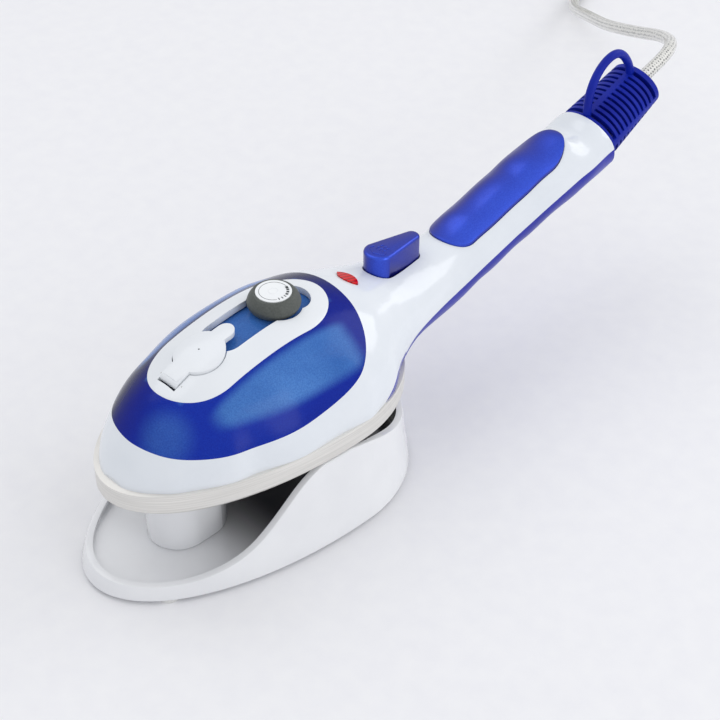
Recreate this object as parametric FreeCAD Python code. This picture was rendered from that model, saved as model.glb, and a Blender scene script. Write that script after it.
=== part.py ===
import FreeCAD, Part
import math
import os

# Hand-held garment steamer resting on its stand, in millimetres.
# The nose points to -Y, the handle rises towards +Y, +Z is up and the stand's feet touch z = 0.
# Sizes are written with y = 0 under the head, and export() moves every piece to the origin
# at the middle of the footprint.

V = FreeCAD.Vector

# ---- overall sizes -------------------------------------------------------------------------
HEAD_MID_Y = 15.0          # widest place of the head
HEAD_HALF = 52.2           # half width of the housing at its lower edge
HEAD_NOSE = 111.2          # housing nose, measured from the widest place
HEAD_HEEL = 61.5           # housing heel, measured from the widest place
SOLE_HALF = 53.0           # half width of the soleplate
SOLE_NOSE = 114.3
SOLE_HEEL = 62.0
SOLE_BOTTOM_Z = 46.4
SOLE_TOP_Z = 59.6
WALL = 2.4                 # housing wall
HANDLE_TILT = 15.5         # degrees that the handle rises
HANDLE_END_Y = 241.3       # where the handle's axis meets its end face
HANDLE_END_Z = 98.4

# ---- housing outline -----------------------------------------------------------------------
TOP_LINE = [(-96.2, 60.4), (-91, 67.5), (-83.5, 76.8), (-75, 86.6), (-65.7, 94.2), (-52, 100.4),
            (-35, 105.2), (-15, 108.3), (5, 108.3), (22, 105.8), (40, 102.2), (56, 96.8), (73, 92.0),
            (90, 88.6), (106, 87.5), (121, 88.0), (135, 91.3), (160, 98.6), (190, 106.4), (213, 110.4),
            (237, 111.0), (255, 112.4)]
MIDDLE_LINE = [(30, 59.6), (43, 61.2), (52, 64.6), (62, 66.0), (90, 66.0), (110, 66.3), (121, 67.4),
               (135, 70.2), (166, 78.3), (198, 87.2), (231, 96.0), (255, 102.4)]
NECK_WIDTH = [(48, 42.6), (54.5, 39.4), (67, 33.0), (79.6, 28.2), (90, 25.3), (100, 23.0), (110, 21.0),
              (120, 19.7), (135, 18.7), (160, 18.2), (200, 19.0), (225, 19.9), (255, 20.3)]
UNDERSIDE_DEPTH = [(-100, 16), (60, 14), (78, 13), (92, 15.5), (108, 18), (124, 18.6), (138, 17.4),
                   (152, 18.8), (166, 17.4), (180, 18.9), (194, 18.3), (212, 19.9), (232, 20.3), (255, 20.6)]
SECTION_FULLNESS = [(-96, 1.85), (0, 1.85), (60, 1.95), (120, 2.1), (255, 2.1)]
BLUE_START_Y = 41.0        # where the lower cover begins beside the soleplate
SHELL_SCREWS = [(112, 66), (141, 72)]   # (y, z) where the two halves meet at each screw

# ---- water tank ----------------------------------------------------------------------------
TANK_BORDER = [(-110, 80.2), (-83.5, 76.3), (-62, 73.8), (-46, 73.2), (-26, 73.9), (-9, 75.2), (4, 77.0),
               (17.3, 80.6), (27.2, 84.7), (33.5, 89.4), (38.6, 94.8), (41.6, 98.8), (43.0, 103), (43.3, 112)]
TANK_WALL = 2.2
TANK_FLOOR_Z = 82.0
TANK_FLOOR_THICK = 2.0
RING_HALF = 22.5
RING_FRONT_Y = -65.7
RING_STRAIGHT_Y = (-40.0, 8.0)
RING_REAR_Y = 35.6
RING_THICK = 3.6
RECESS_HALF = 11.0
RECESS_FRONT_Y = -36.0
RECESS_REAR_Y = 27.2
DECK_THICK = 2.0
FIT_GAP = 0.4              # clearance round pieces that move or drop in
HINGE_ROOM = 4.0           # from the lid's hinge line to the front of its slot

# ---- filler lid ----------------------------------------------------------------------------
LID_Y = -39.7
LID_RADIUS = 12.4
LID_TAB_Y = -23.4
LID_TAB_RADIUS = 4.6
LID_ARM_HALF = 5.6
LID_HINGE_Y = -56.6
LID_PROUD = 1.2
LID_THICK = 2.4
LID_PIN_R = 1.1
FILLER_R = 7.0

# ---- dial ----------------------------------------------------------------------------------
DIAL_Y = 7.2
DIAL_TOP_Z = 114.3
DIAL_RADIUS = 13.1
DIAL_TOP_RADIUS = 10.2
DIAL_DISC_R = 8.75
DIAL_DISC_THICK = 1.2
DIAL_HEIGHT = 9.0
SHAFT_R = 2.5
SHAFT_WELL_R = 4.6
THERMOSTAT_R = 9.0

# ---- steam button and pump -----------------------------------------------------------------
BUTTON_FRONT_Y = 70.4
BUTTON_REAR_Y = 106.0
BUTTON_FRONT_R = 8.0
BUTTON_REAR_R = 4.0
BUTTON_TOP_Z = 103.2       # at its front edge
BUTTON_SLOPE = 4.6         # degrees that its top falls towards the rear
BUTTON_TRAVEL = 3.6
BUTTON_STOP_GAP = 0.3      # left under the button when it is fully down
BUTTON_CLEAR = 0.5
PUMP_Y = 84.0
PUMP_R = 7.0
PUMP_BORE_R = 5.0
PUMP_BOTTOM_Z = 56.0
PUMP_TOP_Z = 79.0
STEM_R = 2.6

# ---- lamp, grip and cord guard -------------------------------------------------------------
LENS_Y = 56.0
LENS_HALF = 7.4            # half length across the handle
LENS_DEPTH = 7.6           # its width along the handle
PAD_FRONT_Y = 121.4
PAD_REAR_Y = 215.6
PAD_HALF = 13.3
PAD_PROUD = 1.1
POCKET_DEPTH = 1.2
GUARD_LENGTH = 45.0
GUARD_ROOT = (19.2, 14.4, 0.0)   # half width, half height and rise of its oval at the handle
GUARD_END = (16.0, 12.4, 4.4)    # the same at its free end
GUARD_WALL = 2.6
GUARD_RIBS = 10
GUARD_RIB_THICK = 2.0
GUARD_SPINE = 3.6
GUARD_END_PLATE = 3.0
LOOP_R = 2.4
CORD_D = 7.5

# ---- stand ---------------------------------------------------------------------------------
STAND_MID_Y = 13.2
STAND_HALF = 59.4
STAND_NOSE = 125.8
STAND_HEEL = 64.4
STAND_FOOT_Z = 2.0
STAND_TOP_Z = SOLE_BOTTOM_Z
STAND_WALL = 3.6
STAND_FLOOR = 3.0
STAND_EDGE = [(-140, 9.5), (-84, 9.5), (-66, 12.5), (-52, 18.0), (-41, 25.5), (-31, 33.5), (-21, 41.0),
              (-10, 45.8), (2, 46.8), (120, 46.8)]
POST_Y = (-60.0, -50.0)
POST_R = 16.0
REST_PAD_THICK = 1.2
FOOT_R = 5.5

# ---- cord ----------------------------------------------------------------------------------
COIL_X, COIL_Y = -281.6, 579.0
COIL_MID_R = 44.0
COIL_ACROSS = 3            # turns side by side
COIL_LAYERS = 2
TURN_PITCH = CORD_D + 0.1
COIL_EDGE_R = COIL_MID_R + TURN_PITCH   # middle line of its outermost turn
CORD_ROUTE = [(-2, 305.0, 117.8), (-6.5, 322, 118.0), (-18, 341, 112.5), (-38, 357.5, 102.5), (-63, 373, 89),
              (-91, 390, 75), (-118, 411, 60), (-146, 434, 46), (-172, 457, 32), (-195, 479, 18),
              (-215, 502, 7.5), (-228, 524, 4.0)]
PLUG_X = COIL_X - COIL_EDGE_R
PIN_R = 2.4
PIN_LENGTH = 19.0
PIN_SPACING = 19.0


# ---- small helpers -------------------------------------------------------------------------
def smooth_line(points):
    """A curve through (y, value) points that never overshoots them."""
    ys = [p[0] for p in points]
    vs = [p[1] for p in points]
    steps = [(vs[i + 1] - vs[i]) / (ys[i + 1] - ys[i]) for i in range(len(ys) - 1)]
    slopes = [steps[0]]
    for a, b in zip(steps, steps[1:]):
        slopes.append(0.0 if a * b <= 0 else 2 * a * b / (a + b))
    slopes.append(steps[-1])

    def value(y):
        if y <= ys[0]:
            return vs[0]
        if y >= ys[-1]:
            return vs[-1]
        i = max(k for k in range(len(ys) - 1) if ys[k] <= y)
        span = ys[i + 1] - ys[i]
        t = (y - ys[i]) / span
        return (vs[i] * (2 * t ** 3 - 3 * t ** 2 + 1) + slopes[i] * span * (t ** 3 - 2 * t ** 2 + t)
                + vs[i + 1] * (3 * t ** 2 - 2 * t ** 3) + slopes[i + 1] * span * (t ** 3 - t ** 2))
    return value


def box(x0, x1, y0, y1, z0, z1):
    return Part.makeBox(x1 - x0, y1 - y0, z1 - z0, V(x0, y0, z0))


def rod(radius, start, end):
    way = V(*end) - V(*start)
    return Part.makeCylinder(radius, way.Length, V(*start), way)


def tube(outer, inner, start, end):
    return rod(outer, start, end).cut(rod(inner, start, end))


def half_oval(half, mid_y, tip_y, z):
    """Half an ellipse whose tip is at tip_y and whose ends are at mid_y."""
    arc = Part.makeCircle(1, V(0, 0, 0), V(0, 0, 1), 180, 360)
    scale = FreeCAD.Matrix()
    scale.A11, scale.A22 = half, mid_y - tip_y
    scale.A24, scale.A34 = mid_y, z
    return arc.transformGeometry(scale).Edges[0]


def oval_wire(half, front_mid, front_tip, rear_mid, rear_tip, z):
    """Two half ellipses, with straight sides between them when their middles are apart."""
    edges = [half_oval(half, front_mid, front_tip, z), half_oval(half, rear_mid, rear_tip, z)]
    if rear_mid - front_mid > 0.01:
        for side in (half, -half):
            edges.append(Part.LineSegment(V(side, front_mid, z), V(side, rear_mid, z)).toShape())
    return Part.Wire(Part.__sortEdges__(edges))


def oval_prism(half, front_mid, front_tip, rear_mid, rear_tip, z0, z1):
    wire = oval_wire(half, front_mid, front_tip, rear_mid, rear_tip, z0)
    return Part.Face(wire).extrude(V(0, 0, z1 - z0))


def slot_prism(radius, y0, y1, z0, z1):
    """A round-ended bar lying along Y."""
    ends = [rod(radius, (0, y, z0), (0, y, z1)) for y in (y0, y1)]
    return joined([box(-radius, radius, y0, y1, z0, z1)] + ends)


def side_prism(points, half=90.0, curved=None):
    """A face drawn in the YZ plane, run out to both sides. curved is a spline that closes it."""
    corners = [V(-half, y, z) for y, z in points]
    edges = [Part.LineSegment(a, b).toShape() for a, b in zip(corners, corners[1:])]
    if curved:
        spline = Part.BSplineCurve()
        spline.interpolate([V(-half, y, z) for y, z in curved])
        edges.append(spline.toShape())
        edges.append(Part.LineSegment(V(-half, *curved[-1]), corners[0]).toShape())
        edges.append(Part.LineSegment(corners[-1], V(-half, *curved[0])).toShape())
    else:
        edges.append(Part.LineSegment(corners[-1], corners[0]).toShape())
    return Part.Face(Part.Wire(Part.__sortEdges__(edges))).extrude(V(2 * half, 0, 0))


def joined(shapes):
    return shapes[0].fuse(shapes[1:]).removeSplitter()


def biggest(shape):
    return max(shape.Solids, key=lambda s: s.Volume)


# ---- housing envelope ----------------------------------------------------------------------
top_z = smooth_line(TOP_LINE)
middle_z = smooth_line(MIDDLE_LINE)
neck_half = smooth_line(NECK_WIDTH)
under_depth = smooth_line(UNDERSIDE_DEPTH)
fullness = smooth_line(SECTION_FULLNESS)
levels = {}


def section(y, depth):
    """One cross section of the housing, set inwards by depth."""
    slope = (top_z(y + 0.5) - top_z(y - 0.5)) / 1.0
    base = middle_z(y)
    rise = top_z(y) - depth * min(math.hypot(1, slope), 2.2) - base
    if y < NECK_WIDTH[0][0]:
        reach = HEAD_NOSE - depth if y < HEAD_MID_Y else HEAD_HEEL - depth
        half = (HEAD_HALF - depth) * math.sqrt(1 - ((y - HEAD_MID_Y) / reach) ** 2)
    else:
        half = neck_half(y) - depth
    drop = under_depth(y) - depth
    power = 2.0 / fullness(y)
    points = []
    for k in range(28):
        turn = math.radians(360.0 * k / 28 - 90)
        c, s = math.cos(turn), math.sin(turn)
        power_here = power if s >= 0 else 0.95
        height = rise if s >= 0 else drop
        x = half * math.copysign(abs(c) ** power_here, c)
        z = base + height * math.copysign(abs(s) ** power_here, s)
        points.append(V(x, y, z))
    curve = Part.BSplineCurve()
    curve.interpolate(points, PeriodicFlag=True)
    return Part.Wire(curve.toShape())


def level(depth):
    """The whole housing as one smooth solid, set inwards by depth."""
    if depth not in levels:
        turns = (7, 13, 19, 26, 34, 43, 53, 64, 76, 88)
        nose = [HEAD_MID_Y - (HEAD_NOSE - depth) * math.cos(math.radians(a)) for a in turns]
        rear = [28, 38, 46, 54, 62, 70, 78, 86, 94, 103, 113, 123, 134, 146, 158, 170, 182, 194,
                206, 218, 230, 242, 254]
        levels[depth] = Part.makeLoft([section(y, depth) for y in nose + rear], True, False)
    return levels[depth]


tilt = FreeCAD.Rotation(V(1, 0, 0), HANDLE_TILT - 90)
handle_end = FreeCAD.Placement(V(0, HANDLE_END_Y, HANDLE_END_Z), tilt)


def on_handle(along, up=0.0, side=0.0):
    """A point in the handle end's own frame: along its axis, above it and to its side."""
    return handle_end.multVec(V(side, -up, along))


def placed_on_handle(shape):
    shape.Placement = handle_end.multiply(shape.Placement)
    return shape


def beyond_handle(extra=0.0):
    return placed_on_handle(Part.makeBox(120, 120, 60, V(-60, -60, -extra)))


sole_room = oval_prism(SOLE_HALF + 1.0, HEAD_MID_Y, HEAD_MID_Y - SOLE_NOSE - 1.0, HEAD_MID_Y,
                       HEAD_MID_Y + SOLE_HEEL + 1.0, 0, SOLE_TOP_Z)
below_head = box(-90, 90, -140, HEAD_MID_Y + 30, 0, SOLE_TOP_Z)


def trimmed(solid):
    """Housing material above the soleplate and before the handle's end face."""
    return solid.cut(below_head).cut(sole_room).cut(beyond_handle())


tank_zone = side_prism([(TANK_BORDER[-1][0], 140), (-110, 140)], curved=TANK_BORDER)
blue_stations = (BLUE_START_Y, 46, 52, 62, 80, 100, 112, 124, 140, 170, 200, 230, 255)
blue_curve = [(y, middle_z(y)) for y in blue_stations]
blue_zone = side_prism([(262, 20), (BLUE_START_Y, 20)], curved=blue_curve)

ring_outline = (RING_HALF, RING_STRAIGHT_Y[0], RING_FRONT_Y, RING_STRAIGHT_Y[1], RING_REAR_Y)
ring_prism = oval_prism(*ring_outline, 60, 130)


def lid_outline(grow, z0, z1):
    """Plan of the filler lid: a round cap, a finger tab behind it and an arm to the hinge."""
    cap = rod(LID_RADIUS + grow, (0, LID_Y, z0), (0, LID_Y, z1))
    tab = slot_prism(LID_TAB_RADIUS + grow, LID_Y, LID_TAB_Y - LID_TAB_RADIUS + 4.2, z0, z1)
    arm = box(-LID_ARM_HALF - grow, LID_ARM_HALF + grow, LID_HINGE_Y - 1.0, LID_Y, z0, z1)
    return joined([cap, tab, arm])


def button_outline(grow, z0, z1):
    """Plan of the steam button: a drop, broad towards the head and narrow towards the grip."""
    front = V(0, BUTTON_FRONT_Y + BUTTON_FRONT_R, z0)
    rear = V(0, BUTTON_REAR_Y - BUTTON_REAR_R, z0)
    span = (rear - front).Length
    lean = math.asin((BUTTON_FRONT_R - BUTTON_REAR_R) / span)
    side = V(math.cos(lean), math.sin(lean), 0)
    big, small = BUTTON_FRONT_R + grow, BUTTON_REAR_R + grow
    a, b = front + side * big, rear + side * small
    mirror_a, mirror_b = V(-a.x, a.y, z0), V(-b.x, b.y, z0)
    edges = [Part.LineSegment(a, b).toShape(),
             Part.Arc(b, rear + V(0, small, 0), mirror_b).toShape(),
             Part.LineSegment(mirror_b, mirror_a).toShape(),
             Part.Arc(mirror_a, front - V(0, big, 0), a).toShape()]
    return Part.Face(Part.Wire(edges)).extrude(V(0, 0, z1 - z0))


def lens_outline(grow, z0, z1):
    """Plan of the lamp lens: a leaf across the housing, from two arcs."""
    left, right = V(-LENS_HALF - grow, LENS_Y, z0), V(LENS_HALF + grow, LENS_Y, z0)
    half = LENS_DEPTH / 2 + grow * 0.7
    edges = [Part.Arc(left, V(0, LENS_Y - half, z0), right).toShape(),
             Part.Arc(right, V(0, LENS_Y + half, z0), left).toShape()]
    return Part.Face(Part.Wire(edges)).extrude(V(0, 0, z1 - z0))


def pad_outline(grow, z0, z1):
    """Plan of the grip pad: nearly square in front, round behind."""
    return oval_prism(PAD_HALF + grow, PAD_FRONT_Y + 14, PAD_FRONT_Y - grow,
                      PAD_REAR_Y - 19, PAD_REAR_Y + grow, z0, z1)


dial_hole = rod(DIAL_RADIUS + 0.6, (0, DIAL_Y, 60), (0, DIAL_Y, 130))
recess_prism = slot_prism(RECESS_HALF, RECESS_FRONT_Y + RECESS_HALF, RECESS_REAR_Y - RECESS_HALF, 60, 130)
ring_opening = joined([recess_prism, dial_hole, lid_outline(FIT_GAP, 60, 130)])
deck_depth = RING_THICK
deck_under = RING_THICK + DECK_THICK
parts = {}


# ---- housing shells ------------------------------------------------------------------------
def make_shells():
    skin = trimmed(level(0.0).cut(level(WALL)))
    upper = skin.cut(tank_zone).cut(blue_zone)
    upper = upper.cut(button_outline(BUTTON_CLEAR, 70, 130)).cut(lens_outline(0.0, 70, 130))
    pad_pocket = pad_outline(0.25, 70, 140).cut(level(POCKET_DEPTH))
    upper = upper.cut(pad_pocket)
    return upper, skin.common(blue_zone)


upper, lower = make_shells()
parts["upper_housing"] = biggest(upper)
parts["lower_handle_cover"] = biggest(lower)

# ---- water tank ----------------------------------------------------------------------------
tank_skin = trimmed(level(0.0).cut(level(TANK_WALL))).common(tank_zone)
deck_zone = oval_prism(RING_HALF + 1.6, RING_STRAIGHT_Y[0], RING_FRONT_Y - 1.6, RING_STRAIGHT_Y[1],
                       RING_REAR_Y + 1.6, 60, 130)
deck = level(deck_depth).cut(level(deck_under)).common(deck_zone)
well_top = top_z(DIAL_Y) - deck_depth - 0.5
well = tube(SHAFT_WELL_R, SHAFT_WELL_R - 1.4, (0, DIAL_Y, TANK_FLOOR_Z), (0, DIAL_Y, well_top))
tank = joined([tank_skin.cut(ring_prism), deck, well])
tank = tank.cut(rod(SHAFT_WELL_R - 1.4, (0, DIAL_Y, 70), (0, DIAL_Y, 120)))
tank = tank.cut(rod(FILLER_R + 1.4, (0, LID_Y, 90), (0, LID_Y, 120)))
hinge_z = top_z(LID_HINGE_Y) - 2.2
pin_reach = LID_ARM_HALF + 1.8
hinge_pin = rod(LID_PIN_R, (-pin_reach, LID_HINGE_Y, hinge_z), (pin_reach, LID_HINGE_Y, hinge_z))
tank = tank.cut(box(-LID_ARM_HALF - 1, LID_ARM_HALF + 1, LID_HINGE_Y - HINGE_ROOM, LID_HINGE_Y + HINGE_ROOM,
                    hinge_z - 5, 120))
parts["water_tank"] = biggest(tank.cut(hinge_pin))
floor_slab = box(-60, 60, -100, 38, TANK_FLOOR_Z - TANK_FLOOR_THICK, TANK_FLOOR_Z)
floor = level(TANK_WALL).common(tank_zone).common(floor_slab)
floor = floor.cut(rod(SHAFT_WELL_R - 1.4, (0, DIAL_Y, 60), (0, DIAL_Y, 100)))
parts["tank_floor"] = biggest(floor)
lid_top = top_z(LID_Y)
filler = tube(FILLER_R + 1.4, FILLER_R, (0, LID_Y, lid_top - 16), (0, LID_Y, lid_top - deck_depth - 0.2))
parts["filler_neck"] = filler

# ---- trim ring -----------------------------------------------------------------------------
ring = trimmed(level(0.0).cut(level(deck_depth))).common(ring_prism).cut(ring_opening)
arm_room = LID_ARM_HALF + FIT_GAP
slot_front = box(-arm_room, arm_room, LID_HINGE_Y - HINGE_ROOM, LID_HINGE_Y, 60, 130)
parts["trim_ring"] = biggest(ring.cut(slot_front).cut(hinge_pin))

# ---- filler lid ----------------------------------------------------------------------------
lid = level(-LID_PROUD).cut(level(LID_THICK - LID_PROUD)).common(lid_outline(0.0, 60, 130))
knuckle = rod(LID_PIN_R + 1.5, (-LID_ARM_HALF, LID_HINGE_Y, hinge_z), (LID_ARM_HALF, LID_HINGE_Y, hinge_z))
lid = joined([lid, knuckle])
lid = lid.cut(rod(LID_PIN_R + 0.06, (-10, LID_HINGE_Y, hinge_z), (10, LID_HINGE_Y, hinge_z)))
parts["filler_lid"] = biggest(lid)
parts["lid_hinge_pin"] = hinge_pin
seal_top = top_z(LID_Y) + LID_PROUD - LID_THICK - 0.1
seal = Part.makeCone(FILLER_R - 1.4, FILLER_R - 0.35, 7.4, V(0, LID_Y, seal_top - 6.5))
seal = seal.cut(rod(FILLER_R - 2.8, (0, LID_Y, seal_top - 6.6), (0, LID_Y, seal_top - 2.5)))
parts["filler_seal"] = biggest(seal.cut(lid))

# ---- dial ----------------------------------------------------------------------------------
dial_bottom = top_z(DIAL_Y) - deck_depth + 0.6
dial_side = [V(0, 0, dial_bottom), V(DIAL_RADIUS - 1.6, 0, dial_bottom), V(DIAL_RADIUS, 0, dial_bottom + 3.2),
             V(DIAL_TOP_RADIUS, 0, DIAL_TOP_Z - 0.5), V(DIAL_DISC_R, 0, DIAL_TOP_Z - 0.2),
             V(0, 0, DIAL_TOP_Z - 0.2)]
bulge = Part.Arc(dial_side[1], dial_side[2] + V(-0.4, 0, -1.4), dial_side[2]).toShape()
shoulder = Part.Arc(dial_side[2], V(DIAL_RADIUS - 0.7, 0, DIAL_TOP_Z - 3.4), dial_side[3]).toShape()
dial_edges = [Part.LineSegment(dial_side[0], dial_side[1]).toShape(), bulge, shoulder,
              Part.LineSegment(dial_side[3], dial_side[4]).toShape(),
              Part.LineSegment(dial_side[4], dial_side[5]).toShape(),
              Part.LineSegment(dial_side[5], dial_side[0]).toShape()]
knob = Part.Face(Part.Wire(dial_edges)).revolve(V(0, 0, 0), V(0, 0, 1), 360)
knob.translate(V(0, DIAL_Y, 0))
disc = rod(DIAL_DISC_R, (0, DIAL_Y, DIAL_TOP_Z - DIAL_DISC_THICK), (0, DIAL_Y, DIAL_TOP_Z))
shaft = rod(SHAFT_R, (0, DIAL_Y, SOLE_TOP_Z + 1.5), (0, DIAL_Y, DIAL_TOP_Z - 4.5))
parts["dial_knob"] = knob.cut(disc).cut(shaft)
parts["dial_disc"] = disc
parts["dial_shaft"] = shaft

# ---- steam button, spring and pump ---------------------------------------------------------
button_bottom = round(PUMP_TOP_Z + BUTTON_TRAVEL + BUTTON_STOP_GAP, 6)
button = button_outline(0.0, button_bottom, 120)
slope_drop = (BUTTON_REAR_Y - BUTTON_FRONT_Y) * math.tan(math.radians(BUTTON_SLOPE))
above_button = [(BUTTON_FRONT_Y - 20, BUTTON_TOP_Z + slope_drop * 20 / (BUTTON_REAR_Y - BUTTON_FRONT_Y)),
                (BUTTON_REAR_Y + 20, BUTTON_TOP_Z - slope_drop * (1 + 20 / (BUTTON_REAR_Y - BUTTON_FRONT_Y))),
                (BUTTON_REAR_Y + 20, 130), (BUTTON_FRONT_Y - 20, 130)]
button = button.cut(side_prism(above_button))
stem_bottom = PUMP_TOP_Z - 8.0
stem = rod(STEM_R, (0, PUMP_Y, stem_bottom), (0, PUMP_Y, button_bottom + 0.01))
parts["steam_button"] = biggest(button.fuse(stem).removeSplitter())
piston = rod(PUMP_BORE_R - 0.05, (0, PUMP_Y, stem_bottom - 5.0), (0, PUMP_Y, stem_bottom))
parts["pump_piston"] = piston
pump = rod(PUMP_R, (0, PUMP_Y, PUMP_BOTTOM_Z), (0, PUMP_Y, PUMP_TOP_Z))
pump = pump.cut(rod(PUMP_BORE_R, (0, PUMP_Y, PUMP_BOTTOM_Z + 2.0), (0, PUMP_Y, PUMP_TOP_Z - 1.6)))
pump = pump.cut(rod(STEM_R + 0.06, (0, PUMP_Y, PUMP_TOP_Z - 3), (0, PUMP_Y, PUMP_TOP_Z + 1)))
parts["pump_cylinder"] = pump
spring_wire = 0.5


def coil_spring(radius, wire, bottom, height, turns):
    """A spring from tilted half rings that meet in balls."""
    pieces = []
    step = height / (2 * turns)
    lean = math.degrees(math.atan2(step, 2 * radius))
    for k in range(2 * turns):
        half_ring = Part.makeTorus(math.hypot(radius, step / 2), wire, V(0, 0, 0), V(0, 0, 1), -180, 180, 180)
        half_ring.rotate(V(0, 0, 0), V(0, 1, 0), lean)
        half_ring.rotate(V(0, 0, 0), V(0, 0, 1), 180 * (k % 2))
        half_ring.translate(V(0, 0, bottom + (k + 0.5) * step))
        pieces.append(half_ring)
        side = 1 if k % 2 == 0 else -1
        pieces.append(Part.makeSphere(wire, V(side * radius, 0, bottom + k * step)))
    return joined(pieces)


spring_height = round(BUTTON_TRAVEL + BUTTON_STOP_GAP - 2 * spring_wire - 0.2, 6)
spring = coil_spring(STEM_R + 1.2, spring_wire, PUMP_TOP_Z + spring_wire + 0.1, spring_height, 3)
spring.translate(V(0, PUMP_Y, 0))
parts["button_spring"] = spring


def pipe(points, radius):
    """A bent tube or wire from straight lengths with round elbows."""
    pieces = [rod(radius, a, b) for a, b in zip(points, points[1:])]
    pieces += [Part.makeSphere(radius, V(*p)) for p in points[1:-1]]
    return joined(pieces)


suction = [(11, 30, TANK_FLOOR_Z - TANK_FLOOR_THICK), (11, 30, 73), (9, 60, 71.5), (3, PUMP_Y, 70)]
parts["suction_tube"] = biggest(pipe(suction, 1.9).cut(rod(PUMP_R, (0, PUMP_Y, 50), (0, PUMP_Y, 90))))

# ---- soleplate with its heater and steam chamber -------------------------------------------
sole_floor_z = SOLE_BOTTOM_Z + 7.2
sole = oval_prism(SOLE_HALF, HEAD_MID_Y, HEAD_MID_Y - SOLE_NOSE, HEAD_MID_Y, HEAD_MID_Y + SOLE_HEEL,
                  SOLE_BOTTOM_Z + 3.2, SOLE_TOP_Z)
lower_wire = oval_wire(SOLE_HALF - 2.6, HEAD_MID_Y, HEAD_MID_Y - SOLE_NOSE + 3.4, HEAD_MID_Y,
                       HEAD_MID_Y + SOLE_HEEL - 2.6, SOLE_BOTTOM_Z)
upper_wire = oval_wire(SOLE_HALF, HEAD_MID_Y, HEAD_MID_Y - SOLE_NOSE, HEAD_MID_Y, HEAD_MID_Y + SOLE_HEEL,
                       SOLE_BOTTOM_Z + 3.2)
sole = sole.fuse(Part.makeLoft([lower_wire, upper_wire], True, True)).removeSplitter()
sole = sole.cut(oval_prism(SOLE_HALF - 5, HEAD_MID_Y, HEAD_MID_Y - SOLE_NOSE + 6, HEAD_MID_Y,
                           HEAD_MID_Y + SOLE_HEEL - 5, sole_floor_z, 70))
chamber = (27.0, -18.0, -46.0, 14.0, 42.0)
chamber_depth = 4.2
sole = sole.cut(oval_prism(*chamber, sole_floor_z - chamber_depth, sole_floor_z))
HOLE_R = 1.7
steam_holes = [(x, y) for x in (-12, 12) for y in range(-28, 33, 12)] + [(0, y) for y in range(-40, 5, 11)]
for x, y in steam_holes:
    sole = sole.cut(rod(HOLE_R, (x, y, SOLE_BOTTOM_Z - 1), (x, y, sole_floor_z)))
HEATER_HALF, HEATER_R = 36.0, 3.3
HEATER_REAR_Y, HEATER_BEND_Y = 48.0, -20.0
heater_z = sole_floor_z + 0.6
bend = Part.makeTorus(HEATER_HALF, HEATER_R, V(0, 0, 0), V(0, 0, 1), -180, 180, 180)
bend.rotate(V(0, 0, 0), V(0, 0, 1), 180)
bend.translate(V(0, HEATER_BEND_Y, heater_z))
heater = [bend]
for x in (-HEATER_HALF, HEATER_HALF):
    heater.append(rod(HEATER_R, (x, HEATER_BEND_Y, heater_z), (x, HEATER_REAR_Y, heater_z)))
    heater.append(rod(1.6, (x, HEATER_REAR_Y - 5, heater_z), (x, HEATER_REAR_Y - 5, SOLE_TOP_Z + 3)))
heater = joined(heater)
parts["heating_element"] = biggest(heater)
parts["soleplate"] = biggest(sole.cut(heater))
cover_top = sole_floor_z + 1.5
cover = oval_prism(chamber[0] + 3, chamber[1], chamber[2] - 3, chamber[3], chamber[4] + 3,
                   sole_floor_z, cover_top)
cover = cover.cut(rod(1.9, (-10, 34, 50), (-10, 34, 70)))
cover_screws = [(-22, -22), (22, -22), (-22, 20), (22, 20)]
for x, y in cover_screws:
    cover = cover.cut(rod(1.7, (x, y, 50), (x, y, 70)))
parts["chamber_cover"] = cover.cut(heater)


def screw(x, y, z, length, up=True, head=2.8, radius=1.6):
    """A pan-head screw: its head's seat is at z and its shank goes down, or up."""
    way = -1 if up else 1
    shank = rod(radius, (x, y, z), (x, y, z + way * length))
    cap = rod(head, (x, y, z), (x, y, z - way * 1.8))
    return shank.fuse(cap).removeSplitter()


screws = [screw(x, y, cover_top, 1.4) for x, y in cover_screws]
parts["cover_screws"] = Part.makeCompound(screws)
thermostat = rod(THERMOSTAT_R, (0, DIAL_Y, cover_top), (0, DIAL_Y, SOLE_TOP_Z + 4.5))
parts["thermostat"] = thermostat.cut(rod(SHAFT_R + 0.06, (0, DIAL_Y, SOLE_TOP_Z + 1.2), (0, DIAL_Y, 80)))
parts["thermal_fuse"] = rod(2.2, (-15, 20, cover_top + 2.4), (-15, 36, cover_top + 2.4))
feed = [(-4, PUMP_Y - 2, PUMP_BOTTOM_Z + 4.5), (-9, 62, 63.5), (-10, 34, 63.5), (-10, 34, sole_floor_z + 0.2)]
parts["steam_feed_tube"] = biggest(pipe(feed, 1.9).cut(rod(PUMP_R, (0, PUMP_Y, 50), (0, PUMP_Y, 90))))
shield = level(WALL + 0.3).common(box(-60, 60, -100, 26, SOLE_TOP_Z + 6, SOLE_TOP_Z + 7.6))
parts["heat_shield"] = biggest(shield.cut(rod(THERMOSTAT_R + 1, (0, DIAL_Y, 50), (0, DIAL_Y, 90))))

# ---- lamp and grip pad ---------------------------------------------------------------------
lens = level(-0.7).cut(level(WALL)).common(lens_outline(-0.1, 70, 130))
parts["lamp_lens"] = biggest(lens)
lamp_top = top_z(LENS_Y) - WALL - 1.2
parts["neon_lamp"] = rod(2.4, (0, LENS_Y, lamp_top - 9), (0, LENS_Y, lamp_top))
pad = level(-PAD_PROUD).cut(level(POCKET_DEPTH)).common(pad_outline(0.0, 70, 140))
parts["grip_pad"] = biggest(pad)

# ---- cord guard with its hanging loop ------------------------------------------------------
guard_gap = 2.2            # thickness of the flange at its root


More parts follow.
